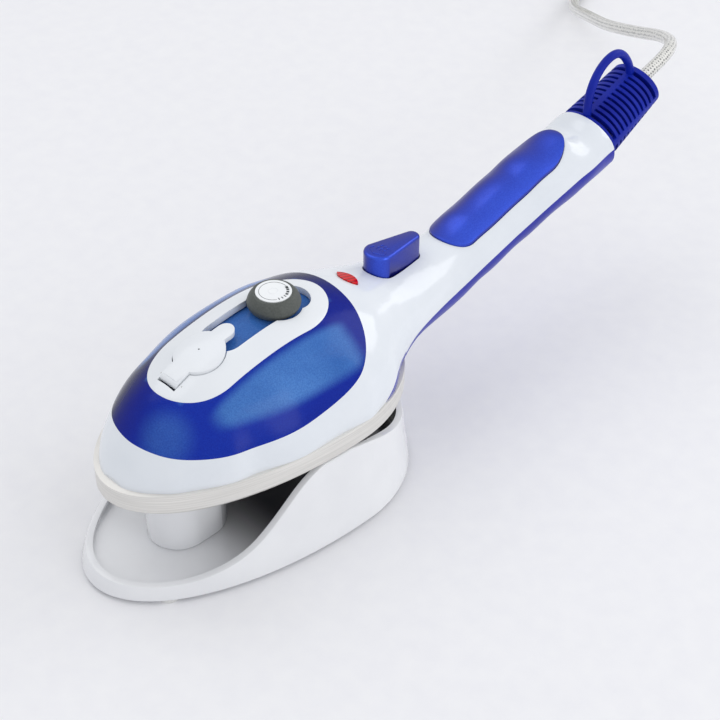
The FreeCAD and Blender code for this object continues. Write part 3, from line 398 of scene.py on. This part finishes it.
def phenolic():
    # phenolic resin, compression moulded: near black, dull, with a little filler showing
    material, tree, surface, place = newMaterial("phenolicMoulded")
    filler = addNode(tree, "TexNoise", {"Vector": place}, Scale=800.0, Detail=6.0)
    tint = twoTone(tree, filler.outputs["Fac"], "#1D1C1B", "#33302D", 0.35, 0.75)
    tree.links.new(tint, surface.inputs["Base Color"])
    spread(tree, filler.outputs["Fac"], 0.45, 0.62, surface=surface)
    bumpFrom(tree, surface, filler.outputs["Fac"], 0.15, 0.0003)
    return material


def ceramic():
    # steatite, pressed and fired: chalky off-white with small specks
    material, tree, surface, place = newMaterial("steatiteFired")
    speck = addNode(tree, "TexVoronoi", {"Vector": place}, Scale=1300.0)
    tint = twoTone(tree, speck.outputs["Distance"], "#C9C3B4", "#E4DFD3", 0.05, 0.3)
    tree.links.new(tint, surface.inputs["Base Color"])
    spread(tree, speck.outputs["Distance"], 0.5, 0.7, surface=surface)
    bumpFrom(tree, surface, speck.outputs["Distance"], 0.1, 0.0003)
    return material


def redAcrylic():
    # acrylic, injection moulded and dyed red: moulded prisms 1.2 mm apart break up the light
    material, tree, surface, place = newMaterial("acrylicMouldedRed")
    prism = addNode(tree, "TexWave", {"Vector": place}, Scale=130.0, bands_direction="X")
    tint = twoTone(tree, prism.outputs["Fac"], "#B40008", "#E8040A", 0.2, 0.8)
    tree.links.new(tint, surface.inputs["Base Color"])
    spread(tree, prism.outputs["Fac"], 0.08, 0.2, surface=surface)
    bumpFrom(tree, surface, prism.outputs["Fac"], 0.2, 0.0003)
    setSurface(surface, IOR=1.4, Transmission_Weight=0.15, Specular_IOR_Level=0.25)
    return material


def clearGlass():
    # soda-lime glass, drawn tube with a warm gas fill
    material, tree, surface, place = newMaterial("sodaGlassDrawn")
    cord = addNode(tree, "TexNoise", {"Vector": place}, Scale=300.0, Detail=1.0)
    tint = twoTone(tree, cord.outputs["Fac"], "#F4B08A", "#FFD9BE", 0.3, 0.7)
    tree.links.new(tint, surface.inputs["Base Color"])
    spread(tree, cord.outputs["Fac"], 0.03, 0.1, surface=surface)
    setSurface(surface, IOR=1.52, Transmission_Weight=0.8)
    return material


def nickelPlate():
    # brass, turned and nickel plated: bright, with fine turning marks
    material, tree, surface, place = newMaterial("brassTurnedNickelPlated")
    mark = addNode(tree, "TexWave", {"Vector": place}, Scale=900.0, bands_direction="Y")
    tint = twoTone(tree, mark.outputs["Fac"], "#C9C4B8", "#E2DED4", 0.2, 0.8)
    tree.links.new(tint, surface.inputs["Base Color"])
    spread(tree, mark.outputs["Fac"], 0.14, 0.26, surface=surface)
    bumpFrom(tree, surface, mark.outputs["Fac"], 0.04, 0.0001)
    setSurface(surface, Metallic=1.0)
    return material


def braidUnderJacket():
    # PVC jacket, extruded clear over a silver-white braid: grey dots 2.1 mm apart run along it in rows
    material, tree, surface, place = newMaterial("clearPvcOverBraid")
    along = addNode(tree, "UVMap", uv_map="lengthways").outputs["UV"]
    weave = addNode(tree, "TexVoronoi", {"Vector": along}, Scale=1.0, Randomness=0.25)
    dots = twoTone(tree, weave.outputs["Distance"], "#4E5053", "#EDECE6", 0.2, 0.34)
    thread = addNode(tree, "TexWave", {"Vector": along}, Scale=2.2, Distortion=0.6,
                     bands_direction="DIAGONAL")
    sparkle = addNode(tree, "TexNoise", {"Vector": along}, Scale=3.5, Detail=3.0)
    shade = twoTone(tree, sparkle.outputs["Fac"], "#B9B9B6", "#FFFFFF", 0.35, 0.62)
    mixed = addNode(tree, "MixRGB", {"Color1": dots, "Color2": shade}, blend_type="MULTIPLY", Fac=0.55)
    tree.links.new(mixed.outputs["Color"], surface.inputs["Base Color"])
    spread(tree, thread.outputs["Fac"], 0.26, 0.5, surface=surface)
    bumpFrom(tree, surface, thread.outputs["Fac"], 0.35, 0.0004)
    setSurface(surface, IOR=1.53, Coat_Weight=0.9, Coat_Roughness=0.08)
    return material


finishes = {
    "whiteShell": withRearStrip(glossAbs("absMouldedGlossWhite", ("#DEE3E9", "#E6EAEF"))),
    "whiteTrim": glossAbs("absMouldedSatinWhite", ("#E2E6EB", "#EAEDF0"), 0.2),
    "whiteStand": withPaintedHollowShade(glossAbs("absMouldedGlossStand", ("#E4E5E8", "#ECEDEF"), 0.1)),
    "tank": tintedStyrene(),
    "natural": satinAbs("polypropyleneMouldedBlue", ("#3C66B4", "#4B78C6")),
    "pearl": pearlPaint(),
    "blueShell": satinAbs("absMouldedSatinBlue", ("#0A1696", "#101FA8"), 0.3, 0.25),
    "bluePvc": softPvc("pvcMouldedBlue", ("#06188A", "#0B24A2"), specular=0.18),
    "knobRubber": siliconeRubber("rubberMouldedGrey", ("#4A4E4B", "#585C58"), 0.5),
    "disc": glossAbs("absMouldedDisc", ("#EDF0F2", "#F4F6F7"), 0.25),
    "sole": castAluminium(),
    "steel": drawnSteel(),
    "ceramic": ceramic(),
    "phenolic": phenolic(),
    "silicone": siliconeRubber("siliconeMouldedWhite", ("#CFCFCD", "#DEDEDC")),
    "lens": redAcrylic(),
    "lamp": clearGlass(),
    "cord": braidUnderJacket(),
    "wire": softPvc("pvcExtrudedWhite", ("#D6D6D2", "#E4E4E0"), 0.4),
    "plug": softPvc("pvcMouldedWhite", ("#DCDEE0", "#E8EAEB"), 0.38),
    "pins": nickelPlate(),
    "ink": satinAbs("inkPadPrinted", ("#3A3E40", "#4A4F51"), 0.45),
}

finishOf = {
    "whiteShell": ["upper_housing"],
    "whiteTrim": ["trim_ring", "filler_lid"],
    "whiteStand": ["stand_base", "front_post"],
    "tank": ["water_tank"],
    "natural": ["tank_floor", "filler_neck", "pump_cylinder", "pump_piston"],
    "pearl": ["steam_button", "grip_pad"],
    "blueShell": ["lower_handle_cover"],
    "bluePvc": ["cord_guard", "hanging_loop", "cord_sleeve"],
    "knobRubber": ["dial_knob"],
    "disc": ["dial_disc"],
    "sole": ["soleplate"],
    "steel": ["heating_element", "chamber_cover", "cover_screws", "lid_hinge_pin", "dial_shaft",
              "button_spring", "clamp_screws", "housing_screws"],
    "ceramic": ["thermostat", "thermal_fuse"],
    "phenolic": ["heat_shield", "terminal_block", "cord_clamp"],
    "silicone": ["rest_pad", "stand_feet", "filler_seal", "suction_tube", "steam_feed_tube"],
    "lens": ["lamp_lens"],
    "lamp": ["neon_lamp"],
    "wire": ["supply_lead", "inner_wires"],
    "plug": ["plug_relief", "plug_body"],
    "pins": ["plug_pins"],
}

for finish, names in finishOf.items():
    for name in names:
        nodes[name].data.materials.clear()
        nodes[name].data.materials.append(finishes[finish])
print("materials ready")


# edges of the mouldings, softened on copies of the frame's pieces

softEdges = {
    # node: (edge width in metres, finish, body,
    #        widest angle that counts as flat, height above which edges soften)
    "steam_button": (0.0014, "pearl", "steam_button", 9.0, 0.090),
    "filler_lid": (0.0005, "whiteTrim", "filler_lid"),
    "trim_ring": (0.0006, "whiteTrim", "steamer"),
    "grip_pad": (0.0006, "pearl", "steamer"),
    "stand_base": (0.0009, "whiteStand", "stand"),
    "front_post": (0.0012, "whiteStand", "stand"),
    "soleplate": (0.0005, "sole", "steamer"),
    "dial_knob": (0.0006, "knobRubber", "dial"),
}


def softened(node, width, finish, body, coarse=0.6, above=-1.0):
    piece = nodes[node].copy()
    piece.data = nodes[node].data.copy()
    for key in [name for name in piece.keys() if name.startswith("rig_")]:
        del piece[key]
    piece.parent = None
    piece.name = node + "Softened"
    bpy.context.scene.collection.objects.link(piece)
    bpy.ops.object.select_all(action="DESELECT")
    piece.select_set(True)
    bpy.context.view_layer.objects.active = piece
    bpy.ops.object.mode_set(mode="EDIT")
    bpy.ops.mesh.select_all(action="SELECT")
    bpy.ops.mesh.remove_doubles(threshold=0.00001)
    bpy.ops.mesh.dissolve_limited(angle_limit=math.radians(coarse))
    bpy.ops.mesh.select_all(action="DESELECT")
    bpy.ops.mesh.select_mode(type="EDGE")
    bpy.ops.mesh.edges_select_sharp(sharpness=math.radians(38))
    bpy.ops.object.mode_set(mode="OBJECT")
    corners = piece.data.vertices
    for edge in piece.data.edges:
        edge.select = edge.select and min(corners[k].co.z for k in edge.vertices) > above
    bpy.ops.object.mode_set(mode="EDIT")
    bpy.ops.mesh.bevel(offset=width, segments=3, affect="EDGES", clamp_overlap=True)
    bpy.ops.object.mode_set(mode="OBJECT")
    bpy.ops.object.shade_smooth_by_angle(angle=math.radians(32))
    piece.data.materials.clear()
    piece.data.materials.append(finishes[finish])
    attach(piece, body)
    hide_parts(node)
    return piece


softPieces = {node: softened(node, *choice) for node, choice in softEdges.items()}
print("edges softened:", len(softPieces))


# the tank's deck, seen in the recess between the lid and the dial

deckPlate = {
    "halfWidth": 0.0128,
    "front": -0.0375,
    "rear": 0.0290,
    "across": 12,
    "along": 36,
    "crown": 0.0021,
    "gap": 0.0003,
    "thickness": 0.0015,
}


def makeDeck():
    # follows the underside of the trim ring, read from the ring just outside the recess
    half = deckPlate["halfWidth"]
    bpy.ops.object.select_all(action="DESELECT")
    bpy.ops.mesh.primitive_grid_add(x_subdivisions=deckPlate["across"],
                                    y_subdivisions=deckPlate["along"], size=2.0)
    deck = bpy.context.object
    deck.name = "tankDeck"
    middle = (deckPlate["front"] + deckPlate["rear"]) / 2
    reach = (deckPlate["rear"] - deckPlate["front"]) / 2
    for corner in deck.data.vertices:
        y = partY + middle + reach * corner.co.y
        start = Vector((half + 0.001, y, 0.05))
        found, place = softPieces["trim_ring"].ray_cast(start, Vector((0, 0, 1)))[:2]
        low = place.z if found else 0.1
        rise = deckPlate["crown"] * (1 - abs(corner.co.x) ** 1.85)
        corner.co = (half * corner.co.x, y, low + rise - deckPlate["gap"])
    solid = deck.modifiers.new("thickness", "SOLIDIFY")
    solid.thickness = deckPlate["thickness"]
    solid.offset = -1.0
    bpy.ops.object.modifier_apply(modifier="thickness")
    bpy.ops.object.mode_set(mode="EDIT")
    bpy.ops.mesh.select_all(action="SELECT")
    bpy.ops.mesh.normals_make_consistent(inside=False)
    bpy.ops.object.mode_set(mode="OBJECT")
    bpy.ops.object.shade_smooth_by_angle(angle=math.radians(35))
    deck.data.materials.append(finishes["tank"])
    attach(deck, "steamer")


makeDeck()
print("deck ready")


# raised and printed marks

def strokes(name, lines, thickness, finish, body):
    data = bpy.data.curves.new(name, "CURVE")
    data.dimensions = "3D"
    data.bevel_depth = thickness / 2
    data.bevel_resolution = 2
    data.use_fill_caps = True
    data.resolution_u = 6
    for line in lines:
        spline = data.splines.new("NURBS")
        spline.points.add(len(line) - 1)
        for target, point in zip(spline.points, line):
            target.co = (*point, 1.0)
        spline.order_u = min(3, len(line))
        spline.use_endpoint_u = True
    piece = bpy.data.objects.new(name, data)
    bpy.context.scene.collection.objects.link(piece)
    bpy.ops.object.select_all(action="DESELECT")
    piece.select_set(True)
    bpy.context.view_layer.objects.active = piece
    bpy.ops.object.convert(target="MESH")
    piece = bpy.context.object
    bpy.ops.object.shade_smooth_by_angle(angle=math.radians(40))
    piece.data.materials.clear()
    piece.data.materials.append(finishes[finish])
    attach(piece, body)
    return piece


steamMark = {
    "frontY": 0.0704,
    "frontZ": 0.1032,
    "slope": 4.6,
    "width": 0.00042,
    "rise": 0.00006,
    "jets": (-0.0021, 0.0, 0.0021),
    "outline": [(-0.0042, 0.0088), (-0.0052, 0.0066), (-0.0038, 0.0050), (-0.0018, 0.0046), (0.0, 0.0034),
                (0.0018, 0.0046), (0.0038, 0.0050), (0.0052, 0.0066), (0.0042, 0.0088)],
}


def onButton(x, y):
    # a point on the button's sloping top, y from its front edge
    low = steamMark["frontZ"] - math.tan(math.radians(steamMark["slope"])) * y
    return fromPart((x, steamMark["frontY"] + y, low + steamMark["rise"]))


def makeSteamMark():
    lines = []
    for x in steamMark["jets"]:
        lines.append([onButton(x + 0.0005 * (-1) ** k, 0.0076 + 0.0013 * k) for k in range(5)])
    lines.append([onButton(*point) for point in steamMark["outline"]])
    strokes("steamMark", lines, steamMark["width"], "pearl", "steam_button")


dialPrint = {
    "middle": (0.0, 0.0072, 0.1143),
    "ring": 0.0071,
    "line": 0.00022,
    "boss": 0.0023,
    "marks": 7,
}


def onDial(radius, degrees):
    turn = math.radians(degrees)
    x, y, z = dialPrint["middle"]
    return fromPart((x + radius * math.cos(turn), y + radius * math.sin(turn), z))


def dialArc(radius, first, last):
    count = max(4, int(abs(last - first) / 15))
    return [onDial(radius, first + (last - first) * k / count) for k in range(count + 1)]


def makeDialPrint():
    ring, line = dialPrint["ring"], dialPrint["line"]
    lines = [dialArc(ring, 75, 330)]
    strokes("dialRing", lines, line, "ink", "dial")
    bars = []
    for k in range(dialPrint["marks"]):
        angle = -20 + k * 15
        for part in range(1 + k // 3):
            shift = (part - (k // 3) / 2) * 5.0
            bars.append([onDial(ring - 0.0009, angle + shift), onDial(ring + 0.0004, angle + shift)])
    strokes("dialBars", bars, line * 2.2, "ink", "dial")
    strokes("dialBoss", [dialArc(dialPrint["boss"], 0, 360)], line * 1.6, "disc", "dial")


def makeGateMark():
    # the small pip where the lid's mould was fed
    low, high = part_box("filler_lid")
    middle = fromPart((0.0, -0.0397, 0.0))
    top = Vector((0.0, middle.y, 0.0))
    ray = softPieces["filler_lid"].ray_cast(Vector((0.0, middle.y, high.z + 0.01)), Vector((0, 0, -1)))
    top.z = ray[1].z if ray[0] else high.z
    bpy.ops.object.select_all(action="DESELECT")
    bpy.ops.mesh.primitive_uv_sphere_add(segments=16, ring_count=8, radius=0.00045, location=top)
    pip = bpy.context.object
    pip.name = "lidGatePip"
    pip.scale = (1.0, 1.0, 0.25)
    bpy.ops.object.transform_apply(location=True, rotation=True, scale=True)
    bpy.ops.object.shade_smooth()
    pip.data.materials.append(finishes["ink"])
    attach(pip, "filler_lid")


makeSteamMark()
makeDialPrint()
makeGateMark()
print("marks ready")


# the supply cord, its coil and the path they follow

cordSize = {
    "diameter": 0.0075,
    "exit": (0.0, 0.284933, 0.115067),
    "coilMiddle": (-0.2816, 0.579),
    "outerTurn": 0.0516,
    "innerTurn": 0.0337,
    "turnsIn": 2.3,
    "turnsOut": 2.2,
    "lowZ": 0.00375,
    "highZ": 0.01135,
    "plugY": 0.548,
    "plugZ": 0.009,
}

cordRoute = [
    (-0.002, 0.305, 0.1178), (-0.0065, 0.322, 0.118), (-0.018, 0.341, 0.1125), (-0.038, 0.3575, 0.1025),
    (-0.063, 0.373, 0.089), (-0.091, 0.390, 0.075), (-0.118, 0.411, 0.060), (-0.146, 0.434, 0.046),
    (-0.172, 0.457, 0.032), (-0.195, 0.479, 0.018), (-0.215, 0.502, 0.0075), (-0.228, 0.524, 0.00395),
]


def coilTurns():
    points = []
    perTurn = 14
    total = cordSize["turnsIn"] + cordSize["turnsOut"]
    middleX, middleY = cordSize["coilMiddle"]
    for step in range(1, int(total * perTurn) + 1):
        turn = step / perTurn
        if turn < cordSize["turnsIn"]:
            share = turn / cordSize["turnsIn"]
        else:
            share = (total - turn) / cordSize["turnsOut"]
        radius = cordSize["outerTurn"] + (cordSize["innerTurn"] - cordSize["outerTurn"]) * share
        climb = min(max((turn - cordSize["turnsIn"] + 0.35) / 0.5, 0.0), 1.0)
        climb = climb * climb * (3 - 2 * climb)
        height = cordSize["lowZ"] + (cordSize["highZ"] - cordSize["lowZ"]) * climb
        angle = 2 * math.pi * turn
        points.append((middleX + radius * math.cos(angle), middleY + radius * math.sin(angle), height))
    return points


def cordPoints():
    coilX, coilY = cordSize["coilMiddle"]
    entry = coilX + cordSize["outerTurn"]
    leave = coilX - cordSize["outerTurn"]
    points = [cordSize["exit"]] + cordRoute
    points += [(entry, 0.5545, cordSize["lowZ"]), (entry, 0.579, cordSize["lowZ"])]
    points += coilTurns()
    points += [(leave, 0.566, 0.0107), (leave, cordSize["plugY"], cordSize["plugZ"])]
    return [fromPart(point) for point in points]


def makeCord():
    line = bpy.data.curves.new("supplyCord", "CURVE")
    line.dimensions = "3D"
    line.resolution_u = 6
    spline = line.splines.new("NURBS")
    points = cordPoints()
    spline.points.add(len(points) - 1)
    for target, point in zip(spline.points, points):
        target.co = (*point, 1.0)
    spline.order_u = 3
    spline.use_endpoint_u = True
    curve = bpy.data.objects.new("supplyCord", line)
    bpy.context.scene.collection.objects.link(curve)
    bpy.context.view_layer.update()
    graph = bpy.context.evaluated_depsgraph_get()
    bare = bpy.data.meshes.new_from_object(curve.evaluated_get(graph))
    path = [vertex.co.copy() for vertex in bare.vertices]
    bpy.data.objects.remove(curve)
    tube = tubeAlong("supplyCord", path, cordSize["diameter"] / 2)
    return tube, path


def tubeAlong(name, path, radius, sides=20):
    mesh = bpy.data.meshes.new(name)
    vertices, faces, corners = [], [], []
    length = 0.0
    side = Vector((1, 0, 0))
    rows = []
    for i, point in enumerate(path):
        before, after = path[max(i - 1, 0)], path[min(i + 1, len(path) - 1)]
        way = (after - before).normalized()
        side = (side - way * side.dot(way)).normalized()
        up = way.cross(side)
        if i:
            length += (point - path[i - 1]).length
        rows.append(length)
        for k in range(sides):
            turn = 2 * math.pi * k / sides
            vertices.append(point + (side * math.cos(turn) + up * math.sin(turn)) * radius)
    around = 2 * math.pi * radius
    for i in range(len(path) - 1):
        for k in range(sides):
            after = (k + 1) % sides
            faces.append((i * sides + k, i * sides + after, (i + 1) * sides + after, (i + 1) * sides + k))
            low, high = around * k / sides, around * (k + 1) / sides
            corners += [(low, rows[i]), (high, rows[i]), (high, rows[i + 1]), (low, rows[i + 1])]
    last = (len(path) - 1) * sides
    faces.append(tuple(reversed(range(sides))))
    faces.append(tuple(range(last, last + sides)))
    corners += [(0.0, 0.0)] * (2 * sides)
    mesh.from_pydata(vertices, [], faces)
    layer = mesh.uv_layers.new(name="lengthways")
    dotGap = 0.0021
    for corner, (across, along) in zip(layer.data, corners):
        corner.uv = (across / (around / 11), along / dotGap)
    for face in mesh.polygons:
        face.use_smooth = len(face.vertices) == 4
    tube = bpy.data.objects.new(name, mesh)
    bpy.context.scene.collection.objects.link(tube)
    return tube


def pathLength(path):
    return sum((b - a).length for a, b in zip(path, path[1:]))


cord, cordPath = makeCord()
cord.data.materials.append(finishes["cord"])
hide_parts("power_cord", "cord_coil")
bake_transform(cord)
print("cord ready, metres:", round(pathLength(cordPath), 3))


# floor and lights

def makeStage():
    world = bpy.data.worlds.new("studio")
    world.use_nodes = True
    world.node_tree.nodes["Background"].inputs["Color"].default_value = hexColour(studio["world"])
    world.node_tree.nodes["Background"].inputs["Strength"].default_value = studio["worldStrength"]
    bpy.context.scene.world = world
    bpy.context.scene.view_settings.view_transform = "Standard"
    bpy.ops.object.select_all(action="DESELECT")
    bpy.ops.mesh.primitive_plane_add(size=8.0, location=(0, 0, 0))
    floor = bpy.context.object
    floor.name = "studioFloor"
    material, tree, surface, place = newMaterial("paperRolledMatt")
    fibre = addNode(tree, "TexNoise", {"Vector": place}, Scale=90.0, Detail=4.0)
    tint = twoTone(tree, fibre.outputs["Fac"], *studio["floor"])
    tree.links.new(tint, surface.inputs["Base Color"])
    setSurface(surface, Roughness=0.42, IOR=1.4)
    floor.data.materials.append(material)
    for name, place, aim, width, height, watts, colour in studio["lamps"]:
        data = bpy.data.lights.new(name, "AREA")
        data.shape = "RECTANGLE"
        data.size, data.size_y = width, height
        data.energy = watts
        data.color = hexColour(colour)[:3]
        lamp = bpy.data.objects.new(name, data)
        bpy.context.scene.collection.objects.link(lamp)
        lamp.location = place
        lamp.rotation_euler = (Vector(aim) - Vector(place)).to_track_quat("-Z", "Y").to_euler()


makeStage()
print("stage ready")
